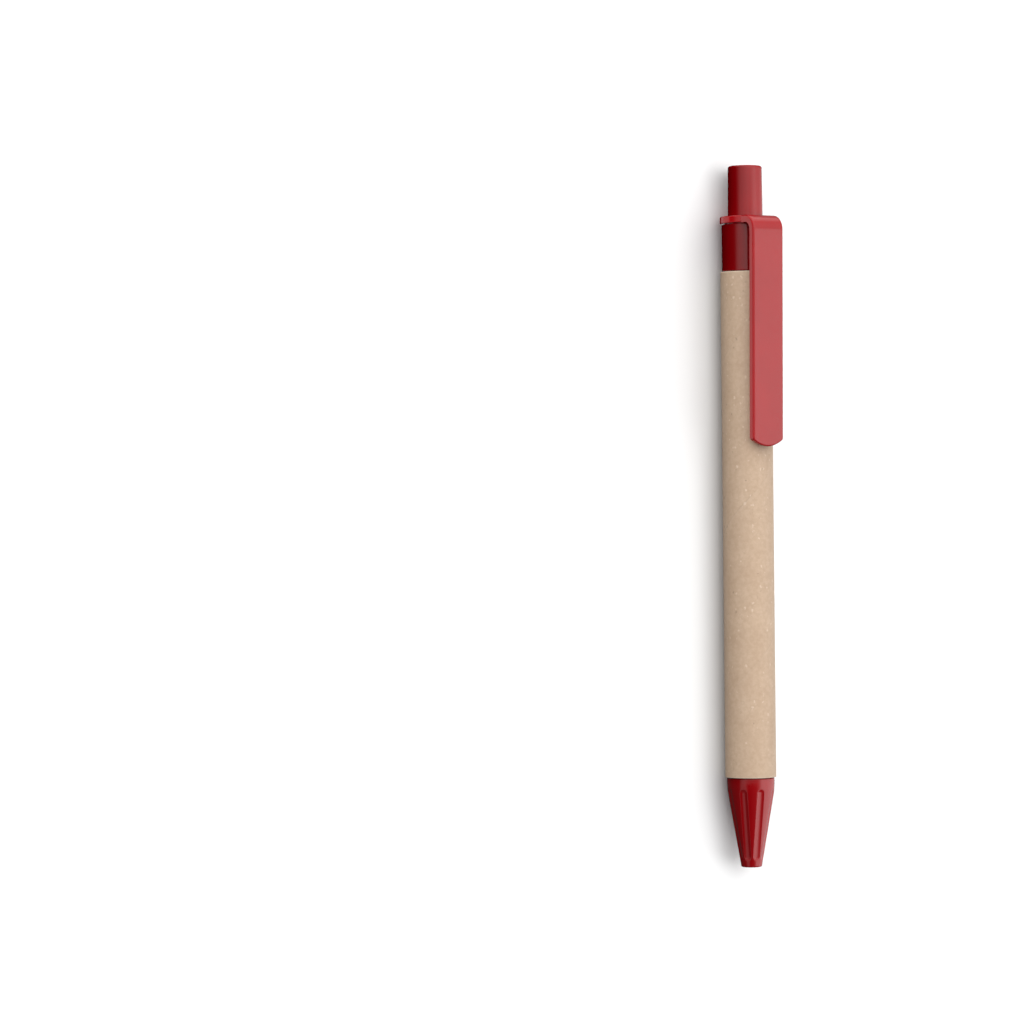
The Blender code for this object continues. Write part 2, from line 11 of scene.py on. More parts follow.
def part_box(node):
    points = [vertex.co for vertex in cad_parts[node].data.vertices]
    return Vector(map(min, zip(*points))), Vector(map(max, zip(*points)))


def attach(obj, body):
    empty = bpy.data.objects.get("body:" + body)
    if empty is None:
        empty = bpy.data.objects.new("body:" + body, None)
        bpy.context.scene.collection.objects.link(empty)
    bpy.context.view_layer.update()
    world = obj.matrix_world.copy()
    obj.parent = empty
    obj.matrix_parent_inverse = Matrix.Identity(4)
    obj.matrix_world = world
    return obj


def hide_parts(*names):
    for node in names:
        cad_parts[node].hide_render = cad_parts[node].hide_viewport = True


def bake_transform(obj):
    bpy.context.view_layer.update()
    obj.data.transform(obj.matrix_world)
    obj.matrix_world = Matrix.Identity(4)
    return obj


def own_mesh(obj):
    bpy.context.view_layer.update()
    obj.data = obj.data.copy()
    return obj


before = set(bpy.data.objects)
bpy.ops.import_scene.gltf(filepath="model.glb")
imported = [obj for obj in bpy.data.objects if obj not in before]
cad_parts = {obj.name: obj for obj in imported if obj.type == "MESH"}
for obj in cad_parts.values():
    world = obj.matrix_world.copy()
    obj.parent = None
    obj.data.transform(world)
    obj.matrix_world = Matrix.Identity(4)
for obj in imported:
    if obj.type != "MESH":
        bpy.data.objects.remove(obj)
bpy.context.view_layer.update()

MM = 0.001

# The pen's axis lies along X. A station is a distance from the nose end towards the button,
# a radius is a distance from the axis, and an angle is measured from the clip towards +Y.
AXIS_Z = sum(corner.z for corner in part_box("paper_barrel")) / 2
NOSE_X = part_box("nose_cone")[1].x


def stations(node):
    """The lowest and highest station of a CAD node."""
    low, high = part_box(node)
    return NOSE_X - high.x, NOSE_X - low.x


def half_width(node):
    low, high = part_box(node)
    return (high.y - low.y) / 2


def pen_points(station, radius, angle):
    """Points in the frame from stations, radii and angles, which may be arrays."""
    station, radius, angle = np.broadcast_arrays(station, radius, angle)
    columns = (NOSE_X - station, radius * np.sin(angle), AXIS_Z + radius * np.cos(angle))
    return np.stack(columns, axis=-1)


# Sizes that the meshes share
FACE_GAP = 0.15 * MM
BARREL_START, BARREL_END = stations("paper_barrel")
BARREL_RADIUS = half_width("paper_barrel")
BARREL_BORE = 3.95 * MM
SPIGOT_RADIUS = BARREL_BORE - FACE_GAP
PLASTIC_RADIUS = half_width("nose_cone")
COLLAR_TOP = 129.6 * MM
COLLAR_BOTTOM = 128.2 * MM
COLLAR_SPIGOT = 3.98 * MM
COLLAR_HOLE = 3.58 * MM
ROUND = 128          # columns round an outer piece
SMALL_ROUND = 64     # columns round an inner piece


# ---------------------------------------------------------------- mesh helpers

def fillet_path(corners, closed=True, segments=6):
    """A polyline through (radius, station, fillet radius) corners, with its corners rounded."""
    count = len(corners)
    path = []
    for i, (x, y, size) in enumerate(corners):
        here = np.array((x, y))
        at_end = not closed and i in (0, count - 1)
        if size <= 0.0 or at_end:
            path.append(here)
            continue
        before = np.array(corners[i - 1][:2]) - here
        after = np.array(corners[(i + 1) % count][:2]) - here
        before /= np.linalg.norm(before)
        after /= np.linalg.norm(after)
        half = math.acos(float(np.clip(before @ after, -1.0, 1.0))) / 2
        reach = size / math.tan(half)
        bisector = (before + after) / np.linalg.norm(before + after)
        centre = here + bisector * size / math.sin(half)
        first, last = here + before * reach, here + after * reach
        support = 0.25 * reach
        path.append(first + before * support)
        start = math.atan2(*(first - centre)[::-1])
        sweep = math.atan2(*(last - centre)[::-1]) - start
        sweep = (sweep + math.pi) % (2.0 * math.pi) - math.pi
        for k in range(segments + 1):
            turn = start + sweep * k / segments
            path.append(centre + size * np.array((math.cos(turn), math.sin(turn))))
        path.append(last + after * support)
    return np.array(path)


def finish_mesh(name, vertices, faces, sharp=40.0):
    """An object from vertices and faces, with its faces pointing out and shaded smooth."""
    mesh = bpy.data.meshes.new(name)
    mesh.from_pydata([tuple(v) for v in vertices], [], faces)
    shape = bmesh.new()
    shape.from_mesh(mesh)
    bmesh.ops.recalc_face_normals(shape, faces=shape.faces)
    shape.to_mesh(mesh)
    shape.free()
    mesh.shade_smooth()
    mesh.set_sharp_from_angle(angle=math.radians(sharp))
    piece = bpy.data.objects.new(name, mesh)
    bpy.context.scene.collection.objects.link(piece)
    return piece


def ring_mesh(name, rings, tube, sharp=40.0):
    """A closed skin over rings of points; a tube's last ring joins its first, else poles cap it."""
    rings = np.asarray(rings, float)
    rows, columns, _ = rings.shape
    vertices = list(rings.reshape(-1, 3))
    faces = []
    for row in range(rows if tube else rows - 1):
        first, second = row * columns, (row + 1) % rows * columns
        for column in range(columns):
            after = (column + 1) % columns
            faces.append((first + column, first + after, second + after, second + column))
    if not tube:
        for row, flip in ((0, True), (rows - 1, False)):
            pole = len(vertices)
            vertices.append(rings[row].mean(axis=0))
            for column in range(columns):
                after = (column + 1) % columns
                edge = (row * columns + column, row * columns + after)
                faces.append((*(edge[::-1] if flip else edge), pole))
    return finish_mesh(name, vertices, faces, sharp)


def lathe(name, corners, columns=ROUND, tube=True, segments=6, sharp=40.0):
    """A turned piece; with tube False, its first and last corners lie near the axis."""
    path = fillet_path(corners, closed=tube, segments=segments)
    angles = np.arange(columns) * 2.0 * math.pi / columns
    rings = pen_points(path[:, 1][:, None], path[:, 0][:, None], angles[None, :])
    return ring_mesh(name, rings, tube, sharp)


def applied(piece):
    """The piece with its modifiers applied."""
    bpy.context.view_layer.update()
    depsgraph = bpy.context.evaluated_depsgraph_get()
    mesh = bpy.data.meshes.new_from_object(piece.evaluated_get(depsgraph))
    piece.modifiers.clear()
    piece.data = mesh
    return piece


def combined(piece, tools, operation):
    """The piece joined to or cut by the tools, which are then removed."""
    for tool in tools:
        modifier = piece.modifiers.new(tool.name, "BOOLEAN")
        modifier.operation = operation
        modifier.solver = "EXACT"
        modifier.object = tool
    applied(piece)
    for tool in tools:
        bpy.data.objects.remove(tool, do_unlink=True)
    return piece


def smooth_by_area(piece, sharp=40.0):
    """Shade smooth, with the large faces deciding the normals at their edges."""
    piece.data.shade_smooth()
    piece.data.set_sharp_from_angle(angle=math.radians(sharp))
    weighted = piece.modifiers.new("normals", "WEIGHTED_NORMAL")
    weighted.keep_sharp = True
    weighted.weight = 80
    return piece


# ---------------------------------------------------------------- material helpers

class Nodes:
    """A node tree under construction; values may be numbers, tuples or sockets."""

    def __init__(self, tree):
        self.tree = tree

    def node(self, kind, inputs=None, **settings):
        made = self.tree.nodes.new(kind)
        for key, value in settings.items():
            setattr(made, key, value)
        for key, value in (inputs or {}).items():
            self.put(made.inputs[key], value)
        return made

    def put(self, socket, value):
        if isinstance(value, bpy.types.NodeSocket):
            self.tree.links.new(value, socket)
        else:
            socket.default_value = value

    def math(self, operation, first, second=0.0, clamp=False):
        made = self.node("ShaderNodeMath", operation=operation, use_clamp=clamp)
        self.put(made.inputs[0], first)
        self.put(made.inputs[1], second)
        return made.outputs[0]

    def vector(self, operation, first, second):
        made = self.node("ShaderNodeVectorMath", operation=operation)
        self.put(made.inputs[0], first)
        self.put(made.inputs[1], second)
        return made.outputs["Value" if operation == "DOT_PRODUCT" else "Vector"]

    def span(self, value, low, high, to_low=0.0, to_high=1.0, smooth=False):
        """The value taken from one range to another, and held at its ends."""
        kind = "SMOOTHSTEP" if smooth else "LINEAR"
        made = self.node("ShaderNodeMapRange", interpolation_type=kind, clamp=True)
        for socket, number in zip(made.inputs, (value, low, high, to_low, to_high)):
            self.put(socket, number)
        return made.outputs[0]

    def mix(self, amount, first, second, blend="MIX"):
        made = self.node("ShaderNodeMix", data_type="RGBA", blend_type=blend)
        self.put(made.inputs[0], amount)
        self.put(made.inputs[6], first)
        self.put(made.inputs[7], second)
        return made.outputs[2]


class Finish(Nodes):
    """A node material under construction, placed by the piece's own coordinates."""

    def __init__(self, name):
        self.material = bpy.data.materials.new(name)
        self.material.use_nodes = True
        super().__init__(self.material.node_tree)
        self.shader = self.tree.nodes["Principled BSDF"]
        self.point = self.node("ShaderNodeTexCoord").outputs["Object"]

    def noise(self, size, detail=3.0, roughness=0.5, distortion=0.0, point=None):
        """Noise whose features are about the given size in metres."""
        made = self.node("ShaderNodeTexNoise")
        self.put(made.inputs["Vector"], self.point if point is None else point)
        made.inputs["Scale"].default_value = 1.0 / size
        made.inputs["Detail"].default_value = detail
        made.inputs["Roughness"].default_value = roughness
        made.inputs["Distortion"].default_value = distortion
        return made.outputs["Fac"]

    def wander(self, size):
        """A vector that drifts from place to place, each way from -0.5 to 0.5."""
        made = self.node("ShaderNodeTexNoise", {"Vector": self.point, "Scale": 1.0 / size})
        return self.vector("SUBTRACT", made.outputs["Color"], (0.5, 0.5, 0.5))

    def bump(self, height, distance, strength=1.0):
        made = self.node("ShaderNodeBump", {"Height": height, "Distance": distance,
                                            "Strength": strength})
        self.put(self.shader.inputs["Normal"], made.outputs[0])

    def set(self, **values):
        for key, value in values.items():
            self.put(self.shader.inputs[key.replace("_", " ").title()
                                        .replace("Ior", "IOR")], value)
        return self

    def along(self):
        """The distance along the pen, and the angle round it as a share of a turn."""
        parts = self.node("ShaderNodeSeparateXYZ", {"Vector": self.point}).outputs
        height = self.math("SUBTRACT", parts["Z"], AXIS_Z)
        turn = self.math("ARCTAN2", parts["Y"], height)
        return parts["X"], self.math("DIVIDE", turn, 2.0 * math.pi)


def dress(piece, finish):
    piece.data.materials.clear()
    piece.data.materials.append(finish.material)


def install(piece, finish, body, slot, *nodes):
    """Give a piece its finish and its body, and hide the CAD nodes that it stands for. The slot is
    not used.
    """
    dress(piece, finish)
    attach(piece, body)
    if nodes:
        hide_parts(*nodes)


# ---------------------------------------------------------------- finishes

def scattered(f, cell, share, radius, ragged, point):
    """Ragged spots: one in some of the cells of the given size, and none in the rest."""
    cells = f.node("ShaderNodeTexVoronoi", {"Vector": point, "Scale": 1.0 / cell})
    lot = f.node("ShaderNodeSeparateColor", {"Color": cells.outputs["Color"]}).outputs
    chosen = f.math("LESS_THAN", lot["Red"], share)
    size = f.span(lot["Green"], 0.0, 1.0, 0.6 * radius / cell, 1.2 * radius / cell)
    edge = f.math("ADD", cells.outputs["Distance"], f.span(ragged, 0.2, 0.8, -0.10, 0.10))
    inside = f.math("SUBTRACT", 1.0, f.math("DIVIDE", edge, size), clamp=True)
    return f.math("MULTIPLY", chosen, f.span(inside, 0.0, 0.55, smooth=True))


def kraft_finish():
    """Uncoated brown paper: clouds, grain, flecks, loose fibres, a wound seam, and cut ends that
    are lighter, partly by their raw fibres and partly by a painted highlight along the rim.
    """
    f = Finish("kraft_paper")
    along, turn = f.along()
    clouds = f.noise(4.5 * MM, 3.0, 0.55)
    grain = f.noise(0.30 * MM, 4.0, 0.7)
    warped = f.vector("ADD", f.vector("MULTIPLY", f.point, (0.75, 1.0, 1.0)),
                      f.vector("MULTIPLY", f.wander(0.9 * MM), (0.7 * MM,) * 3))
    pale = scattered(f, 1.05 * MM, 0.42, 0.27 * MM, grain, warped)
    dark = scattered(f, 1.40 * MM, 0.30, 0.24 * MM, grain, warped)
    hair = f.math("ABSOLUTE", f.math("SUBTRACT", f.noise(2.4 * MM, 1.0, 0.5, 1.2), 0.5))
    hair = f.math("MULTIPLY", f.span(hair, 0.002, 0.010, 1.0, 0.0),
                  f.span(clouds, 0.48, 0.60, 0.0, 1.0))
    colour = f.mix(f.span(clouds, 0.32, 0.68), KRAFT_DARK, KRAFT_LIGHT)
    mottle = f.noise(0.85 * MM, 3.0, 0.6)
    colour = f.mix(f.span(mottle, 0.46, 0.68, 0.0, 0.22), colour, KRAFT_SHADE)
    colour = f.mix(f.span(mottle, 0.34, 0.54, 0.14, 0.0), colour, KRAFT_FIBRE)
    colour = f.mix(f.span(grain, 0.30, 0.80, 0.0, 0.30), colour, KRAFT_SHADE)
    colour = f.mix(f.math("MULTIPLY", pale, 0.62), colour, KRAFT_FIBRE)
    colour = f.mix(f.math("MULTIPLY", dark, 0.50), colour, KRAFT_SPECK)
    colour = f.mix(f.math("MULTIPLY", hair, 0.22), colour, KRAFT_SPECK)
    wound = f.math("ADD", f.math("DIVIDE", along, SEAM_PITCH), turn)
    phase = f.math("FRACT", f.math("ADD", wound, SEAM_PHASE))
    offset = f.math("MULTIPLY", f.math("SUBTRACT", phase, 0.5), SEAM_PITCH)
    offset = f.math("ADD", offset, f.span(grain, 0.2, 0.8, -0.08 * MM, 0.08 * MM))
    distance = f.math("ABSOLUTE", offset)
    seam = f.span(distance, 0.02 * MM, 0.30 * MM, 1.0, 0.0, smooth=True)
    lap = f.span(offset, 0.0, 1.4 * MM, 1.0, 0.0)
    lap = f.math("MULTIPLY", lap, f.math("GREATER_THAN", offset, 0.0))
    worn = f.math("MULTIPLY", seam, f.span(clouds, 0.42, 0.62, 0.02, 0.20))
    colour = f.mix(worn, colour, KRAFT_SPECK)
    colour = f.mix(f.math("MULTIPLY", lap, 0.10), colour, KRAFT_FIBRE)
    # Lighter towards both cut ends: partly the raw fibres of the cut, partly a painted highlight
    # along the rim.
    middle = NOSE_X - (BARREL_START + BARREL_END) / 2
    to_end = f.math("ABSOLUTE", f.math("SUBTRACT", along, middle))
    half = (BARREL_END - BARREL_START) / 2
    cut = f.span(to_end, half - 0.32 * MM, half - 0.10 * MM, 0.0, 0.55, smooth=True)
    colour = f.mix(cut, colour, KRAFT_FIBRE)
    f.set(base_color=colour, roughness=0.62)
    f.shader.inputs["Sheen Weight"].default_value = 0.10
    f.shader.inputs["Sheen Roughness"].default_value = 0.5
    f.shader.inputs["Specular IOR Level"].default_value = 0.50
    relief = f.math("ADD", f.math("MULTIPLY", grain, 0.7), f.math("MULTIPLY", pale, 0.35))
    relief = f.math("ADD", relief, f.math("MULTIPLY", lap, 0.5))
    relief = f.math("SUBTRACT", relief, f.math("MULTIPLY", seam, 0.6))
    f.bump(relief, 0.025 * MM)
    return f


def red_finish():
    """Glossy moulded plastic with the faint waviness of a moulded skin."""
    f = Finish("red_plastic")
    clouds = f.noise(6.0 * MM, 2.0)
    haze = f.noise(1.2 * MM, 4.0, 0.6)
    wave = f.noise(1.6 * MM, 1.0)
    colour = f.mix(f.span(clouds, 0.3, 0.7), RED_DEEP, RED_BRIGHT)
    f.set(base_color=colour, roughness=f.span(haze, 0.3, 0.75, 0.11, 0.18))
    f.shader.inputs["IOR"].default_value = 1.50
    f.bump(wave, 0.004 * MM)
    return f


def plastic_finish(name, low, high, gloss, size=0.8 * MM):
    """Satin moulded plastic with a little mottling."""
    f = Finish(name)
    mottle = f.noise(size, 4.0, 0.6)
    colour = f.mix(f.span(mottle, 0.3, 0.7), low, high)
    f.set(base_color=colour, roughness=f.span(mottle, 0.3, 0.7, gloss, gloss + 0.12))
    f.bump(mottle, 0.006 * MM)
    return f


def turned_metal_finish(name, low, high, gloss):
    """Metal with fine turning rings round the pen's axis."""
    f = Finish(name)
    along, _ = f.along()
    rings = f.node("ShaderNodeTexNoise", noise_dimensions="1D")
    f.put(rings.inputs["W"], along)
    rings.inputs["Scale"].default_value = 1.0 / (0.05 * MM)
    rings.inputs["Detail"].default_value = 3.0
    stain = f.noise(0.9 * MM, 3.0)
    colour = f.mix(f.span(stain, 0.35, 0.7), low, high)
    f.set(base_color=colour, metallic=1.0)
    f.put(f.shader.inputs["Roughness"],
          f.span(rings.outputs["Fac"], 0.3, 0.7, gloss, gloss + 0.14))
    f.bump(rings.outputs["Fac"], 0.004 * MM)
    return f


def tube_finish():
    """Milky clear plastic that shows the ink inside."""
    f = Finish("tube_plastic")
    haze = f.noise(1.5 * MM, 3.0)
    colour = f.mix(f.span(haze, 0.3, 0.7), (0.74, 0.78, 0.80, 1.0), (0.86, 0.88, 0.89, 1.0))
    f.set(base_color=colour, roughness=f.span(haze, 0.3, 0.7, 0.16, 0.26))
    f.shader.inputs["Transmission Weight"].default_value = 0.75
    f.shader.inputs["IOR"].default_value = 1.49
    f.bump(haze, 0.004 * MM)
    return f


def paste_finish(name, low, high, gloss):
    """Thick fluid with slow swirls."""
    f = Finish(name)
    swirl = f.noise(1.1 * MM, 3.0, 0.5, 1.5)
    colour = f.mix(f.span(swirl, 0.3, 0.7), low, high)
    f.set(base_color=colour, roughness=f.span(swirl, 0.3, 0.7, gloss, gloss + 0.08))
    return f


KRAFT_DARK = (0.510, 0.360, 0.245, 1.0)
KRAFT_LIGHT = (0.570, 0.415, 0.290, 1.0)
KRAFT_SHADE = (0.420, 0.285, 0.190, 1.0)
KRAFT_FIBRE = (0.710, 0.565, 0.435, 1.0)
KRAFT_SPECK = (0.250, 0.170, 0.115, 1.0)
RED_DEEP = (0.350, 0.0010, 0.0035, 1.0)
RED_BRIGHT = (0.380, 0.0015, 0.0045, 1.0)
SEAM_PITCH = 34.0 * MM
SEAM_PHASE = 0.692


# ---------------------------------------------------------------- barrel body

def paper_barrel():
    """Wound paper tube with softly crushed cut ends."""
    soft = 0.16 * MM
    corners = [
        (BARREL_RADIUS, BARREL_END, soft),
        (BARREL_RADIUS, BARREL_START, soft),
        (BARREL_BORE, BARREL_START, 0.08 * MM),
        (BARREL_BORE, BARREL_END, 0.08 * MM),
    ]
    return lathe("paper_tube", corners)


FLUTES = 8
FLUTE_TURN = math.radians(-8.0)
FLUTE_TOP = 14.9 * MM          # centre of the round upper end
FLUTE_FOOT = 2.15 * MM         # centre of the round lower end
FLUTE_HALF = 0.755 * MM
FLUTE_DEPTH = 0.22 * MM
NOSE_CONE_CORNER = 15.59 * MM
NOSE_END_RADIUS = 2.03 * MM
NOSE_HOLE = 1.24 * MM
SPRING_SEAT = 6.0 * MM
SPRING_POCKET = 2.4 * MM


def flute_columns():
    """Places of columns from 0 to 1, first from a flute's middle to its edge, then from there to
    the ridge. They crowd at the edge, which keeps it crisp."""
    inside = np.sin(np.linspace(0.0, math.pi / 2, 9)) ** 0.8
    outside = np.linspace(0.0, 1.0, 8)[1:] ** 1.6
    return inside, outside


def nose_angles(radius):
    """Angles of one ring's columns, measured from the clip."""
    inside, outside = flute_columns()
    sector = math.pi / FLUTES
    edge = min(FLUTE_HALF / radius, 0.86 * sector)
    half = np.concatenate((inside * edge, edge + outside * (sector - edge)))
    sector_angles = np.concatenate((-half[:0:-1], half[:-1]))
    return np.concatenate([sector_angles + FLUTE_TURN + k * 2.0 * sector for k in range(FLUTES)])


def flute_depth(station, radius, angles):
    """How far each column lies below the cone's surface."""
    sector = 2.0 * math.pi / FLUTES
    swing = (angles - FLUTE_TURN + sector / 2) % sector - sector / 2
    sideways = radius * np.sin(swing)
    beyond = max(station - FLUTE_TOP, FLUTE_FOOT - station, 0.0)
    share = np.hypot(sideways, beyond) / FLUTE_HALF
    depth = 1.0 - share ** 2
    soft = 0.06
    return FLUTE_DEPTH * (np.sqrt(depth ** 2 + soft ** 2) + depth) / 2 * (share < 1.6)


def nose_cone():
    """Fluted cone with a spigot and a stepped bore."""
    shoulder = BARREL_START - FACE_GAP
    outer = fillet_path([
        (SPIGOT_RADIUS, shoulder, 0.0),
        (PLASTIC_RADIUS, shoulder, 0.12 * MM),
        (PLASTIC_RADIUS, NOSE_CONE_CORNER, 15.0 * MM),
        (NOSE_END_RADIUS, 0.0, 0.30 * MM),
        (NOSE_HOLE, 0.0, 0.12 * MM),
        (NOSE_HOLE, SPRING_SEAT, 0.0),
    ], closed=False, segments=8)
    fluted = []
    for (r0, s0), (r1, s1) in zip(outer[:-1], outer[1:]):
        outside = min(r0, r1) > NOSE_HOLE * 1.3 and max(s0, s1) < shoulder - 0.5 * MM
        pieces = max(1, math.ceil(abs(s1 - s0) / (0.16 * MM))) if outside else 1
        for k in range(pieces):
            share = k / pieces
            fluted.append((r0 + (r1 - r0) * share, s0 + (s1 - s0) * share, outside))
    rings = []
    for radius, station, outside in fluted:
        reach = max(radius, NOSE_END_RADIUS)
        angles = nose_angles(reach)
        depth = flute_depth(station, radius, angles) if outside else 0.0
        rings.append(pen_points(station, radius - depth, angles))
    _, top = stations("nose_cone")
    chamfer = 0.3 * MM
    angles = nose_angles(NOSE_END_RADIUS)
    for radius, station in ((NOSE_HOLE, SPRING_SEAT), (SPRING_POCKET, SPRING_SEAT),
                            (SPRING_POCKET, top), (SPIGOT_RADIUS - chamfer, top),
                            (SPIGOT_RADIUS, top - chamfer)):
        rings.append(pen_points(station, radius, angles))
    return ring_mesh("fluted_nose", rings, tube=True)


def box_tool(name, size, centre, turn):
    """A box in stations, radius and width, turned round the pen's axis."""
    shape = bmesh.new()
    bmesh.ops.create_cube(shape, size=1.0)
    mesh = bpy.data.meshes.new(name)
    for vertex in shape.verts:
        across, up, along = (centre[i] + vertex.co[i] * size[i] for i in range(3))
        y = across * math.cos(turn) + up * math.sin(turn)
        z = up * math.cos(turn) - across * math.sin(turn)
        vertex.co = (NOSE_X - along, y, AXIS_Z + z)
    bmesh.ops.recalc_face_normals(shape, faces=shape.faces)
    shape.to_mesh(mesh)
    shape.free()
    tool = bpy.data.objects.new(name, mesh)
    bpy.context.scene.collection.objects.link(tool)
    return tool


# The click mechanism's bore, keys, fins and shoulders
CLICK_BORE = 2.55 * MM
CLICK_BORE_START = 108.4 * MM
CLICK_BORE_END = 119.9 * MM
ENTRY_BORE = 3.35 * MM
FLANGE_BORE = 4.10 * MM
GROOVE_WIDTH = 2.4 * MM
GROOVE_REACH = 3.25 * MM
GROOVE_START = 108.3 * MM
GROOVE_END = 120.0 * MM
CAM_RADIUS = 2.4 * MM
KEY_WIDTH = 1.5 * MM
CORE = 0.02 * MM                    # a capped piece's first and last radius


def rear_fitting():
    """Housing of the click mechanism, with the four ribs that guide it."""
    low, high = stations("rear_fitting")
    shoulder = BARREL_END + FACE_GAP
    corners = [
        (PLASTIC_RADIUS, high, 0.18 * MM),
        (PLASTIC_RADIUS, shoulder, 0.12 * MM),
        (SPIGOT_RADIUS, shoulder, 0.0),
        (SPIGOT_RADIUS, low, 0.25 * MM),
        (ENTRY_BORE, low, 0.10 * MM),
        (ENTRY_BORE, CLICK_BORE_START, 0.0),
        (CLICK_BORE, CLICK_BORE_START, 0.0),
        (CLICK_BORE, CLICK_BORE_END, 0.10 * MM),
        (FLANGE_BORE, CLICK_BORE_END, 0.0),
        (FLANGE_BORE, high, 0.15 * MM),
    ]
    piece = lathe("click_housing", corners, columns=96)
    size = (GROOVE_WIDTH, 2.0 * GROOVE_REACH, GROOVE_END - GROOVE_START)
    centre = (0.0, 0.0, (GROOVE_START + GROOVE_END) / 2)
    grooves = [box_tool("groove", size, centre, turn) for turn in (0.0, math.pi / 2)]
    return smooth_by_area(combined(piece, grooves, "DIFFERENCE"))


# ---------------------------------------------------------------- clip

CLIP_HALF = half_width("clip_blade")
CLIP_THICK = 1.5 * MM
CLIP_END, _ = stations("clip_blade")
CLIP_FACE_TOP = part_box("clip_blade")[1].z - AXIS_Z
CLIP_FACE_END = CLIP_FACE_TOP - 0.6 * MM
CLIP_SAGITTA = 1.4 * MM
CLIP_BEND = 3.0 * MM
ARM_START = 3.9 * MM
OUTER_EDGE = 0.40 * MM
INNER_EDGE = 0.20 * MM
EDGE_LEAST = 0.02 * MM              # the rounding left where an edge is shrunk away
END_ROUND = 0.35 * MM
EDGE_POINTS = 7                     # points round one rounded edge of the strip
BEAD_CENTRE = 87.2 * MM
BEAD_RISE = 0.60 * MM
BEAD_HALF_LENGTH = 1.5 * MM
BEAD_HALF_WIDTH = 2.3 * MM
BEAD_FALL = 1.6                     # how steeply the bead falls away along the clip
ARC_REACH = 7.0 * MM                # the end's arc fades out over this length of the blade


def clip_centreline():
    """Points (radius, station) and outward normals along the middle of the strip."""
    centre = np.array((CLIP_FACE_TOP - CLIP_BEND, COLLAR_TOP - CLIP_BEND))
    middle = CLIP_BEND - CLIP_THICK / 2
    lean = math.atan((CLIP_FACE_TOP - CLIP_FACE_END) / (centre[1] - CLIP_END))
    points, normals = [], []
    for radius in np.linspace(ARM_START, centre[0], 8)[:-1]:
        points.append((radius, centre[1] + middle))
        normals.append((0.0, 1.0))
    for angle in np.linspace(math.pi / 2, -lean, 22):
        direction = np.array((math.cos(angle), math.sin(angle)))
        points.append(centre + middle * direction)
        normals.append(direction)
    start = np.array(points[-1])
    downward = np.array((-math.sin(lean), -math.cos(lean)))
    length = (start[1] - CLIP_END) / math.cos(lean)
    fine_from = length - (ARC_REACH + 1.0 * MM)
    stops = np.concatenate((np.linspace(0.0, fine_from, 40)[1:],
                            np.linspace(fine_from, length, 54)[1:]))
    for stop in stops:
        points.append(start + downward * stop)
        normals.append((math.cos(lean), -math.sin(lean)))
    return np.array(points), np.array(normals), downward


def clip_ring(point, normal, downward, slide, shrink):
    """One closed ring round the strip. slide moves its middle along the strip by the end's arc."""
    half, thick = CLIP_HALF - shrink, CLIP_THICK / 2 - shrink
    outer_edge = max(OUTER_EDGE - shrink, EDGE_LEAST)
    inner_edge = max(INNER_EDGE - shrink, EDGE_LEAST)
    profile = []
    arcs = ((half - outer_edge, thick - outer_edge, outer_edge, 90.0, 0.0),
            (half - inner_edge, -thick + inner_edge, inner_edge, 0.0, -90.0),
            (-half + inner_edge, -thick + inner_edge, inner_edge, -90.0, -180.0),
            (-half + outer_edge, thick - outer_edge, outer_edge, 180.0, 90.0))
    for index, (across, up, size, start, stop) in enumerate(arcs):
        for angle in np.radians(np.linspace(start, stop, EDGE_POINTS)):
            profile.append((across + size * math.cos(angle), up + size * math.sin(angle)))
        if index in (1, 3):
            last, side = profile[-1], -1.0 if index == 1 else 1.0
            reach = (half - inner_edge) if index == 1 else (half - outer_edge)
            for share in np.linspace(-1.0, 1.0, 15)[1:-1]:
                profile.append((side * share * reach, last[1]))
    across, up = np.array(profile).T
    centre_r, centre_s = point
    arc = slide * (across / CLIP_HALF) ** 2
    from_bead = (centre_s - arc * downward[1] - BEAD_CENTRE) / BEAD_HALF_LENGTH
    bead = BEAD_RISE * np.exp(-(from_bead ** 2) * BEAD_FALL)
    bead = bead * np.exp(-((across / BEAD_HALF_WIDTH) ** 4))
    on_inner_face = up < -thick * 0.9
    up = up - bead * on_inner_face
    radius = centre_r + normal[0] * up - downward[0] * arc
    station = centre_s + normal[1] * up - downward[1] * arc
    return np.stack((NOSE_X - station, across, AXIS_Z + radius), axis=-1)


def clip_strip():
    """The arm, bend and blade as one strip, with a round lower end."""
    points, normals, downward = clip_centreline()
    rings = []
    for point, normal in zip(points, normals):
        to_end = (point[1] - CLIP_END) / -downward[1]
        if to_end < END_ROUND:
            continue
        share = max(0.0, 1.0 - to_end / ARC_REACH)
        slide = CLIP_SAGITTA * share * share * (3.0 - 2.0 * share)
        rings.append(clip_ring(point, normal, downward, slide, 0.0))
    end, normal = points[-1], normals[-1]
    for angle in np.radians(np.linspace(0.0, 90.0, 7)):
        inset = END_ROUND * (1.0 - math.cos(angle))
        back = END_ROUND * (1.0 - math.sin(angle))
        rings.append(clip_ring(end - downward * back, normal, downward, CLIP_SAGITTA, inset))
    return capped_strip("clip_strip", rings)


def strip_cap(first, columns):
    """Faces across one ring of the strip: a face on each side, and rows of four-sided faces
    between its flat lines, so that the cap follows the end's arc."""
    corner = 2 * EDGE_POINTS
    middle = (columns - 2 * corner) // 2
    inner = [corner - 1 + k for k in range(middle + 2)]
    outer = [-k % columns for k in range(middle + 2)]
    faces = [tuple(range(corner)), tuple(range(corner + middle, 2 * corner + middle))]
    for k in range(middle + 1):
        faces.append((inner[k], inner[k + 1], outer[k + 1], outer[k]))
    return [tuple(first + column for column in face) for face in faces]


def capped_strip(name, rings):
    """A skin over the rings, with a cap on each end."""
    rings = np.asarray(rings)
    rows, columns, _ = rings.shape
    faces = strip_cap(0, columns) + strip_cap((rows - 1) * columns, columns)
    for row in range(rows - 1):
        first, second = row * columns, (row + 1) * columns
        for column in range(columns):
            after = (column + 1) % columns
            faces.append((first + column, first + after, second + after, second + column))
    return finish_mesh(name, rings.reshape(-1, 3), faces)


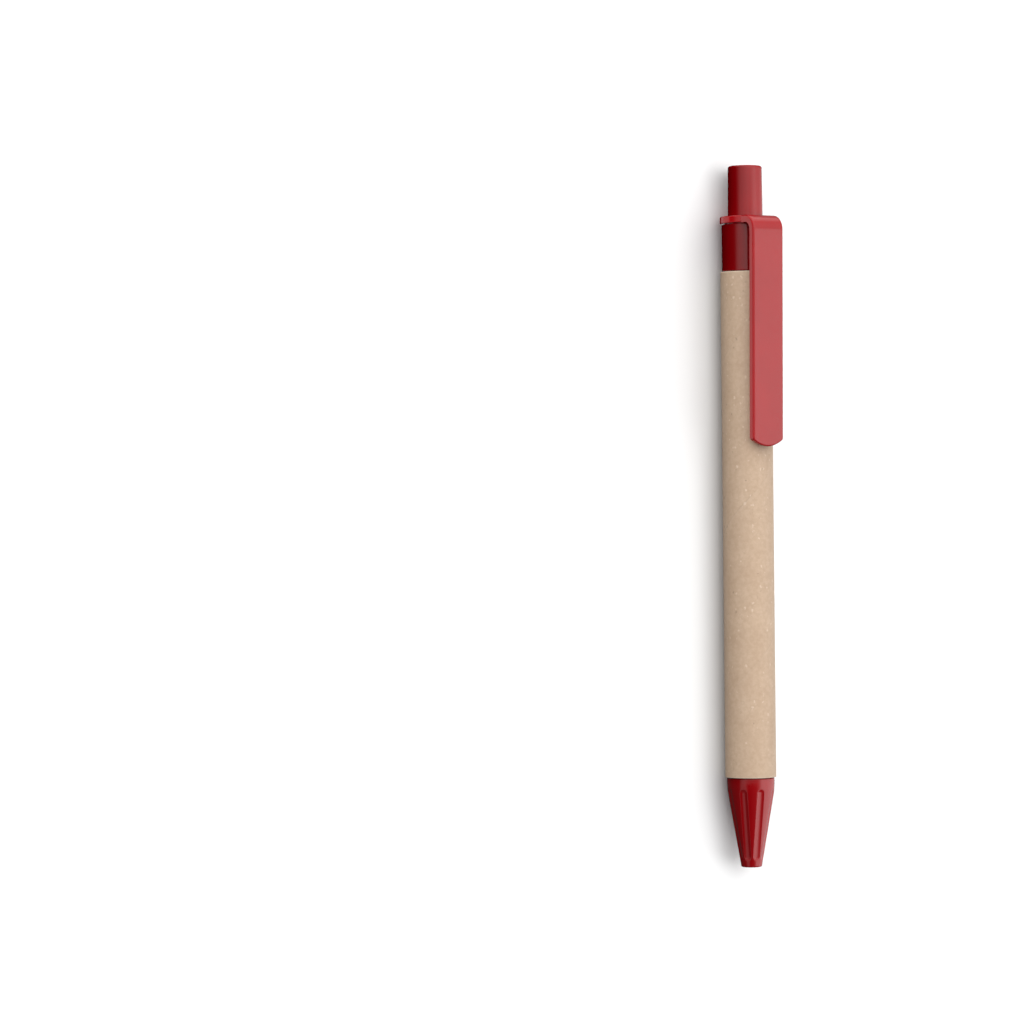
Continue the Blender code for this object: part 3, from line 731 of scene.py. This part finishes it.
def pocket_clip():
    """The collar ring and the clip as the single moulding that they are."""
    spigot_low, _ = stations("clip_collar")
    corners = [
        (BARREL_RADIUS, COLLAR_TOP, 0.22 * MM),
        (BARREL_RADIUS, COLLAR_BOTTOM, 0.22 * MM),
        (COLLAR_SPIGOT, COLLAR_BOTTOM, 0.0),
        (COLLAR_SPIGOT, spigot_low, 0.10 * MM),
        (COLLAR_HOLE, spigot_low, 0.0),
        (COLLAR_HOLE, COLLAR_TOP, 0.15 * MM),
    ]
    ring = lathe("pocket_clip", corners)
    return smooth_by_area(combined(ring, [clip_strip()], "UNION"), sharp=50.0)


# ---------------------------------------------------------------- click mechanism

BUTTON_RADIUS = 3.48 * MM
BUTTON_DRAFT = 0.10 * MM
BUTTON_FLAT = 2.93 * MM             # radius of the crowned end, inside its rounded rim
BUTTON_CROWN = 0.16 * MM
FLANGE_TOP = 126.8 * MM
STEM_SOCKET = 1.75 * MM
STEM_SOCKET_END = 136.0 * MM


def push_button():
    """Button with a slight draft, a faintly crowned end and a flange that retains it."""
    low, high = stations("push_button")
    flange = half_width("push_button")
    crown = [(CORE, high, 0.0)]
    for share in (0.25, 0.5, 0.75):
        crown.append((BUTTON_FLAT * share, high - BUTTON_CROWN * share ** 2, 0.0))
    corners = [
        *crown,
        (BUTTON_RADIUS - BUTTON_DRAFT, high - 0.20 * MM, 0.45 * MM),
        (BUTTON_RADIUS, COLLAR_TOP, 0.0),
        (BUTTON_RADIUS, FLANGE_TOP, 0.0),
        (flange, FLANGE_TOP, 0.10 * MM),
        (flange, low, 0.15 * MM),
        (STEM_SOCKET, low, 0.10 * MM),
        (STEM_SOCKET, STEM_SOCKET_END, 0.0),
        (CORE, STEM_SOCKET_END, 0.0),
    ]
    return lathe("click_button", corners, tube=False, segments=8)


def teeth_cut(piece, station, depth, towards_button):
    """The piece with eight V notches, cut by four square bars across the axis."""
    beyond = depth * (math.sqrt(2.0) - 1.0)
    station += beyond if towards_button else -beyond
    tools = []
    for k in range(4):
        bar = box_tool("notch", (depth * 2.0, 9.0 * MM, depth * 2.0), (0.0, 0.0, 0.0), 0.0)
        for vertex in bar.data.vertices:
            x, y, z = vertex.co.x - NOSE_X, vertex.co.y, vertex.co.z - AXIS_Z
            x, y = (x - y) * math.sqrt(0.5), (x + y) * math.sqrt(0.5)
            turn = k * math.pi / 4
            y, z = y * math.cos(turn) + z * math.sin(turn), z * math.cos(turn) - y * math.sin(turn)
            vertex.co = (NOSE_X + x - station, y, AXIS_Z + z)
        tools.append(bar)
    return combined(piece, tools, "DIFFERENCE")


def guides(name, height, length, radius, station):
    """Four boxes round the axis, which run in the housing's grooves."""
    size = (KEY_WIDTH, height, length)
    return [box_tool(name, size, (0.0, radius, station), k * math.pi / 2) for k in range(4)]


STEM_RADIUS = 1.6 * MM
STEM_SHOULDER = 125.85 * MM
PIN_SOCKET = 0.9 * MM
PIN_SOCKET_END = 118.6 * MM
KEY_HEIGHT = 1.4 * MM
KEY_LENGTH = 5.0 * MM
KEY_RADIUS = 2.35 * MM
KEY_STATION = 116.9 * MM


def cam_plunger():
    """Stem, four keys and a toothed lower end."""
    low, high = stations("cam_plunger")
    corners = [
        (CORE, high, 0.0),
        (STEM_RADIUS, high, 0.15 * MM),
        (STEM_RADIUS, STEM_SHOULDER, 0.0),
        (CAM_RADIUS, STEM_SHOULDER, 0.12 * MM),
        (CAM_RADIUS, low, 0.0),
        (PIN_SOCKET, low, 0.0),
        (PIN_SOCKET, PIN_SOCKET_END, 0.0),
        (CORE, PIN_SOCKET_END, 0.0),
    ]
    piece = lathe("plunger", corners, columns=SMALL_ROUND, tube=False)
    teeth_cut(piece, low, 0.8 * MM, towards_button=False)
    keys = guides("key", KEY_HEIGHT, KEY_LENGTH, KEY_RADIUS, KEY_STATION)
    return smooth_by_area(combined(piece, keys, "UNION"))


ROTOR_TOP = 112.95 * MM
REFILL_SOCKET = 1.6 * MM
REFILL_SOCKET_END = 109.15 * MM
PIN_RADIUS = 0.75 * MM
PIN_START = 110.65 * MM
PIN_END = 118.0 * MM
FIN_HEIGHT = 1.1 * MM
FIN_LENGTH = 3.9 * MM
FIN_RADIUS = 2.5 * MM
FIN_STATION = 110.85 * MM


def cam_rotor():
    """Indexing rotor with four fins, a toothed upper end, a pin and a refill socket."""
    low, _ = stations("cam_rotor")
    corners = [
        (CORE, ROTOR_TOP, 0.0),
        (CAM_RADIUS, ROTOR_TOP, 0.0),
        (CAM_RADIUS, low, 0.15 * MM),
        (REFILL_SOCKET, low, 0.10 * MM),
        (REFILL_SOCKET, REFILL_SOCKET_END, 0.0),
        (CORE, REFILL_SOCKET_END, 0.0),
    ]
    piece = lathe("rotor", corners, columns=SMALL_ROUND, tube=False)
    teeth_cut(piece, ROTOR_TOP, 0.6 * MM, towards_button=True)
    pin = lathe("pin", [(CORE, PIN_END, 0.0), (PIN_RADIUS, PIN_END, 0.15 * MM),
                        (PIN_RADIUS, PIN_START, 0.0), (CORE, PIN_START, 0.0)],
                columns=32, tube=False)
    fins = guides("fin", FIN_HEIGHT, FIN_LENGTH, FIN_RADIUS, FIN_STATION)
    return smooth_by_area(combined(piece, [pin, *fins], "UNION"))


# ---------------------------------------------------------------- refill

TUBE_RADIUS = 1.5 * MM
TUBE_BORE = 1.0 * MM
EAR_SIZE = (0.6 * MM, 0.9 * MM, 1.1 * MM)
EAR_RADIUS = 1.7 * MM
EAR_STATION = 28.65 * MM


def refill_tube():
    """Ink tube with two crimped ears."""
    low, high = stations("refill_tube")
    corners = [
        (TUBE_RADIUS, high, 0.08 * MM),
        (TUBE_RADIUS, low, 0.08 * MM),
        (TUBE_BORE, low, 0.05 * MM),
        (TUBE_BORE, high, 0.05 * MM),
    ]
    piece = lathe("ink_tube", corners, columns=SMALL_ROUND)
    place = (0.0, EAR_RADIUS, EAR_STATION)
    ears = [box_tool("ear", EAR_SIZE, place, turn) for turn in (math.pi / 2, -math.pi / 2)]
    return smooth_by_area(combined(piece, ears, "UNION"))


BALL_STATION = sum(stations("writing_ball")) / 2
BALL_RADIUS = 0.5 * MM
BALL_SOCKET = 0.56 * MM             # radius of the seat round the ball
SHANK_RADIUS = 0.9 * MM
BODY_RADIUS = 1.15 * MM
BODY_START = 6.6 * MM
BODY_END = 12.45 * MM
NECK_RADIUS = 0.72 * MM
NECK_START = 2.75 * MM
NECK_END = 4.2 * MM
RIM_RADIUS = 0.52 * MM
INK_WAY = 0.55 * MM
INK_THROAT = 0.22 * MM

def refill_tip():
    """Turned metal point with a rolled rim round the ball."""
    low, high = stations("refill_tip")
    seat = []
    for angle in np.radians(np.linspace(-32.4, 66.9, 9)):
        seat.append((BALL_SOCKET * math.cos(angle),
                     BALL_STATION + BALL_SOCKET * math.sin(angle), 0.0))
    corners = [
        (SHANK_RADIUS, high, 0.10 * MM),
        (SHANK_RADIUS, BODY_END, 0.0),
        (BODY_RADIUS, BODY_END, 0.10 * MM),
        (BODY_RADIUS, BODY_START, 0.25 * MM),
        (NECK_RADIUS, NECK_END, 0.25 * MM),
        (NECK_RADIUS, NECK_START, 0.12 * MM),
        (RIM_RADIUS + 0.06 * MM, low + 0.05 * MM, 0.03 * MM),
        (RIM_RADIUS, low, 0.0),
        *seat,
        (INK_THROAT, 3.4 * MM, 0.0),
        (INK_WAY, 3.95 * MM, 0.0),
        (INK_WAY, high, 0.0),
    ]
    return lathe("metal_point", corners, columns=SMALL_ROUND)


def fluid(name, node):
    """A column of fluid with a curved end."""
    low, high = stations(node)
    radius = half_width(node)
    corners = [
        (CORE, high - 0.25 * MM, 0.0),
        (0.5 * MM, high - 0.18 * MM, 0.0),
        (radius, high, 0.04 * MM),
        (radius, low, 0.2 * MM),
        (CORE, low, 0.0),
    ]
    return lathe(name, corners, columns=48, tube=False)


def writing_ball():
    mesh = bpy.data.meshes.new("ball")
    shape = bmesh.new()
    bmesh.ops.create_uvsphere(shape, u_segments=48, v_segments=24, radius=BALL_RADIUS)
    bmesh.ops.translate(shape, vec=(NOSE_X - BALL_STATION, 0.0, AXIS_Z), verts=shape.verts)
    shape.to_mesh(mesh)
    shape.free()
    mesh.shade_smooth()
    piece = bpy.data.objects.new("ball", mesh)
    bpy.context.scene.collection.objects.link(piece)
    return piece


WIRE_RADIUS = 0.205 * MM
COIL_RADIUS = 1.88 * MM
ACTIVE_TURNS = 8
DEAD_TURNS = 1                      # closed turns at each end


def return_spring():
    """Helical spring with a closed turn at each end, swept as rings round a helix."""
    low, high = stations("return_spring")
    closed_pitch = 2.0 * WIRE_RADIUS + 0.05 * MM
    turns = ACTIVE_TURNS + 2 * DEAD_TURNS
    run = high - low - 2.0 * WIRE_RADIUS
    pitch = (run - 2.0 * DEAD_TURNS * closed_pitch) / ACTIVE_TURNS
    steps = 32
    rings, station = [], low + WIRE_RADIUS
    for i in range(turns * steps + 1):
        turn = i / steps
        angle = 2.0 * math.pi * turn
        at_end = turn < DEAD_TURNS or turn >= turns - DEAD_TURNS
        slope = (closed_pitch if at_end else pitch) / steps
        tangent = Vector((-slope * steps / (2.0 * math.pi), COIL_RADIUS * math.cos(angle),
                          -COIL_RADIUS * math.sin(angle))).normalized()
        outward = Vector((0.0, math.sin(angle), math.cos(angle)))
        side = tangent.cross(outward)
        centre = Vector(pen_points(station, COIL_RADIUS, angle))
        spin = np.arange(12) * math.pi / 6
        rings.append([centre + (outward * math.cos(a) + side * math.sin(a)) * WIRE_RADIUS
                      for a in spin])
        station += slope
    return ring_mesh("spring", rings, tube=False, sharp=70.0)


# ---------------------------------------------------------------- studio

VIEW_LEAN = math.radians(30.4)      # the camera's turn from straight above, towards -Y
VIEW_ROLL = math.radians(0.57)
VIEW_DISTANCE = 749.0 * MM
VIEW_LENS = 132.0                   # millimetres, on a 36 mm sensor
PEN_OFFSET = 47.12 * MM             # the pen stands this far right of the picture's middle
PEN_DROP = 0.8 * MM

TOWARDS_CAMERA = Vector((0.0, -math.sin(VIEW_LEAN), math.cos(VIEW_LEAN)))
ACROSS = Vector((0.0, math.cos(VIEW_LEAN), math.sin(VIEW_LEAN)))
ALONG = Vector((1.0, 0.0, 0.0))


def camera():
    right = ACROSS * math.cos(VIEW_ROLL) + ALONG * math.sin(VIEW_ROLL)
    up = ACROSS * math.sin(VIEW_ROLL) - ALONG * math.cos(VIEW_ROLL)
    aim = Vector((0.0, 0.0, AXIS_Z)) - right * PEN_OFFSET + up * PEN_DROP
    data = bpy.data.cameras.new("camera")
    data.lens = VIEW_LENS
    data.clip_start = 0.01
    data.clip_end = 10.0
    piece = bpy.data.objects.new("camera", data)
    bpy.context.scene.collection.objects.link(piece)
    piece.rotation_mode = "QUATERNION"
    basis = np.array((right, up, TOWARDS_CAMERA)).T
    piece.rotation_quaternion = Matrix(basis.tolist()).to_quaternion()
    piece.location = aim + TOWARDS_CAMERA * VIEW_DISTANCE
    bpy.context.scene.camera = piece


# Brightness of the studio round the pen's axis, at degrees from the camera's side towards +Y:
# square to the pen, from beyond the nose and from beyond the button. Each ring is one or two
# soft panels, with the light held level past its ends. The values began as a fit of the panels'
# brightness to the photo's shading, and were then rounded, changed and thinned out.
SIDE_RING = [
    (-56, 0.0), (-44, 0.6), (-32, 0.9), (18, 0.9), (32, 0.7), (58, 2.3), (70, 2.3), (90, 1.5),
    (180, 0.6),
]
NOSE_RING = [
    (-62, 0.05), (-50, 0.5), (-30, 0.5), (-18, 0.0), (24, 0.1), (38, 0.6), (52, 2.0), (100, 1.8),
    (160, 0.4),
]
BUTTON_RING = [(-70, 0.0), (20, 1.5), (60, 1.4), (130, 0.3)]
BUTTON_END_LIGHT = 1.5
NOSE_END_LIGHT = 0.1
# Where one ring gives way to the next, as the direction's part along the pen, nose positive
NOSE_RING_FROM = (0.03, 0.08)
NOSE_END_FROM = (0.46, 0.54)
BUTTON_RING_FROM = (-0.05, -0.14)
BUTTON_END_FROM = (-0.74, -0.82)
STUDIO_STRENGTH = 1.13
RING_LIMIT = 3.0                    # brightness of a full ramp
SOFTBOX_DISTANCE = 0.65
FLOOR_HALF = 3.0


def ring_light(f, turn, stops):
    """Brightness from a list of degrees and values, read at an angle in radians."""
    ramp = f.node("ShaderNodeValToRGB", {"Fac": f.span(turn, -math.pi, math.pi)})
    elements = ramp.color_ramp.elements
    elements.remove(elements[-1])
    for index, (degrees, value) in enumerate(stops):
        place = (degrees + 180.0) / 360.0
        stop = elements.new(place) if index else elements[0]
        stop.position = place
        grey = value / RING_LIMIT
        stop.color = (grey, grey, grey, 1.0)
    return f.math("MULTIPLY", ramp.outputs["Color"], RING_LIMIT)


def studio():
    """Soft panels all round, as a plain world, and a pale backdrop to the camera."""
    world = bpy.data.worlds.new("studio")
    bpy.context.scene.world = world
    world.use_nodes = True
    f = Nodes(world.node_tree)
    background = f.tree.nodes["Background"]
    direction = f.node("ShaderNodeTexCoord").outputs["Generated"]
    across = f.vector("DOT_PRODUCT", direction, tuple(ACROSS))
    toward = f.vector("DOT_PRODUCT", direction, tuple(TOWARDS_CAMERA))
    along = f.vector("DOT_PRODUCT", direction, tuple(ALONG))
    turn = f.math("ARCTAN2", across, toward)
    light = ring_light(f, turn, SIDE_RING)
    for window, further in ((NOSE_RING_FROM, ring_light(f, turn, NOSE_RING)),
                            (NOSE_END_FROM, (NOSE_END_LIGHT,) * 3 + (1.0,)),
                            (BUTTON_RING_FROM, ring_light(f, turn, BUTTON_RING)),
                            (BUTTON_END_FROM, (BUTTON_END_LIGHT,) * 3 + (1.0,))):
        start, full = window
        low, high = min(window), max(window)
        share = f.span(along, low, high, float(start > full), float(start < full), smooth=True)
        light = f.mix(share, light, further)
    seen = f.node("ShaderNodeLightPath").outputs["Is Camera Ray"]
    f.put(background.inputs["Color"], f.mix(seen, light, (1.0, 1.0, 1.0, 1.0)))
    background.inputs["Strength"].default_value = STUDIO_STRENGTH


def softbox(name, degrees, lean, size, brightness, lit, glossy=True):
    """A square soft light round the pen's axis, leaning towards the button, for one piece."""
    turn = math.radians(degrees)
    square = ACROSS * math.sin(turn) + TOWARDS_CAMERA * math.cos(turn)
    direction = square * math.cos(math.radians(lean)) - ALONG * math.sin(math.radians(lean))
    data = bpy.data.lights.new(name, "AREA")
    data.shape = "SQUARE"
    data.size = size
    data.energy = brightness * math.pi * size ** 2
    lamp = bpy.data.objects.new(name, data)
    bpy.context.scene.collection.objects.link(lamp)
    lamp.location = Vector((0.0, 0.0, AXIS_Z)) + direction * SOFTBOX_DISTANCE
    lamp.rotation_mode = "QUATERNION"
    lamp.rotation_quaternion = direction.to_track_quat("Z", "Y")
    lamp.visible_glossy = glossy
    receivers = bpy.data.collections.new(name + "_receivers")
    receivers.objects.link(lit)
    lamp.light_linking.receiver_collection = receivers


def floor():
    """Plain pale floor, which takes the pen's soft shadow."""
    mesh = bpy.data.meshes.new("floor")
    half = FLOOR_HALF
    corners = [(-half, -half, 0.0), (half, -half, 0.0), (half, half, 0.0), (-half, half, 0.0)]
    mesh.from_pydata(corners, [], [(0, 1, 2, 3)])
    piece = bpy.data.objects.new("floor", mesh)
    bpy.context.scene.collection.objects.link(piece)
    f = Finish("pale_floor")
    f.set(base_color=(0.93, 0.93, 0.93, 1.0), roughness=0.9)
    f.shader.inputs["Specular IOR Level"].default_value = 0.0
    dress(piece, f)
    piece.visible_diffuse = False
    piece.visible_glossy = False
    piece.visible_transmission = False
    return piece


# ---------------------------------------------------------------- assembly

def build():
    kraft, red = kraft_finish(), red_finish()
    white = plastic_finish("white_acetal", (0.74, 0.74, 0.71, 1), (0.82, 0.82, 0.80, 1), 0.32)
    black = plastic_finish("black_acetal", (0.018, 0.018, 0.020, 1), (0.03, 0.03, 0.033, 1), 0.30)
    steel = turned_metal_finish("drawn_wire", (0.55, 0.55, 0.57, 1), (0.68, 0.68, 0.70, 1), 0.20)
    point = turned_metal_finish("plated_brass", (0.62, 0.57, 0.47, 1), (0.74, 0.70, 0.61, 1), 0.16)
    carbide = turned_metal_finish("carbide", (0.30, 0.30, 0.32, 1), (0.42, 0.42, 0.44, 1), 0.12)
    ink = paste_finish("ink", (0.004, 0.008, 0.060, 1), (0.010, 0.020, 0.120, 1), 0.12)
    grease = paste_finish("grease", (0.62, 0.57, 0.36, 1), (0.72, 0.68, 0.48, 1), 0.18)

    paper = paper_barrel()
    install(paper, kraft, "barrel", "kraft_paper", "paper_barrel")
    install(nose_cone(), red, "barrel", "red_plastic", "nose_cone")
    install(rear_fitting(), red, "barrel", "red_plastic", "rear_fitting")
    install(push_button(), red, "button", "red_plastic", "push_button")
    install(cam_plunger(), white, "button", "white_plastic", "cam_plunger")
    install(cam_rotor(), black, "rotor", "black_plastic", "cam_rotor")
    install(refill_tube(), tube_finish(), "refill", "tube_plastic", "refill_tube")
    install(refill_tip(), point, "refill", "point_metal", "refill_tip")
    install(fluid("ink_fill", "ink_column"), ink, "refill", "ink_paste", "ink_column")
    install(fluid("grease_plug", "grease_follower"), grease, "refill", "follower_grease",
            "grease_follower")
    install(writing_ball(), carbide, "ball", "ball_carbide", "writing_ball")

    spring = return_spring()
    install(spring, steel, "barrel", "spring_steel", "return_spring")
    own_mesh(spring)

    clip = pocket_clip()
    dress(clip, red)
    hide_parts("clip_collar", "clip_blade")
    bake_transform(clip)
    return paper, clip


paper, clip = build()
camera()
studio()
ground = floor()
# Each lamp lights one piece, as the photo's notebook shades the barrel but not the clip.
softbox("paper_softbox", -30.0, 30.0, 0.50, 3.0, paper)
softbox("clip_edge_softbox", -112.0, 6.0, 0.75, 0.9, clip)
softbox("clip_side_softbox", -50.0, 10.0, 0.80, 1.9, clip, glossy=False)
softbox("floor_softbox", 30.0, 0.0, 0.80, 0.8, ground)
bpy.context.scene.view_settings.view_transform = "Standard"
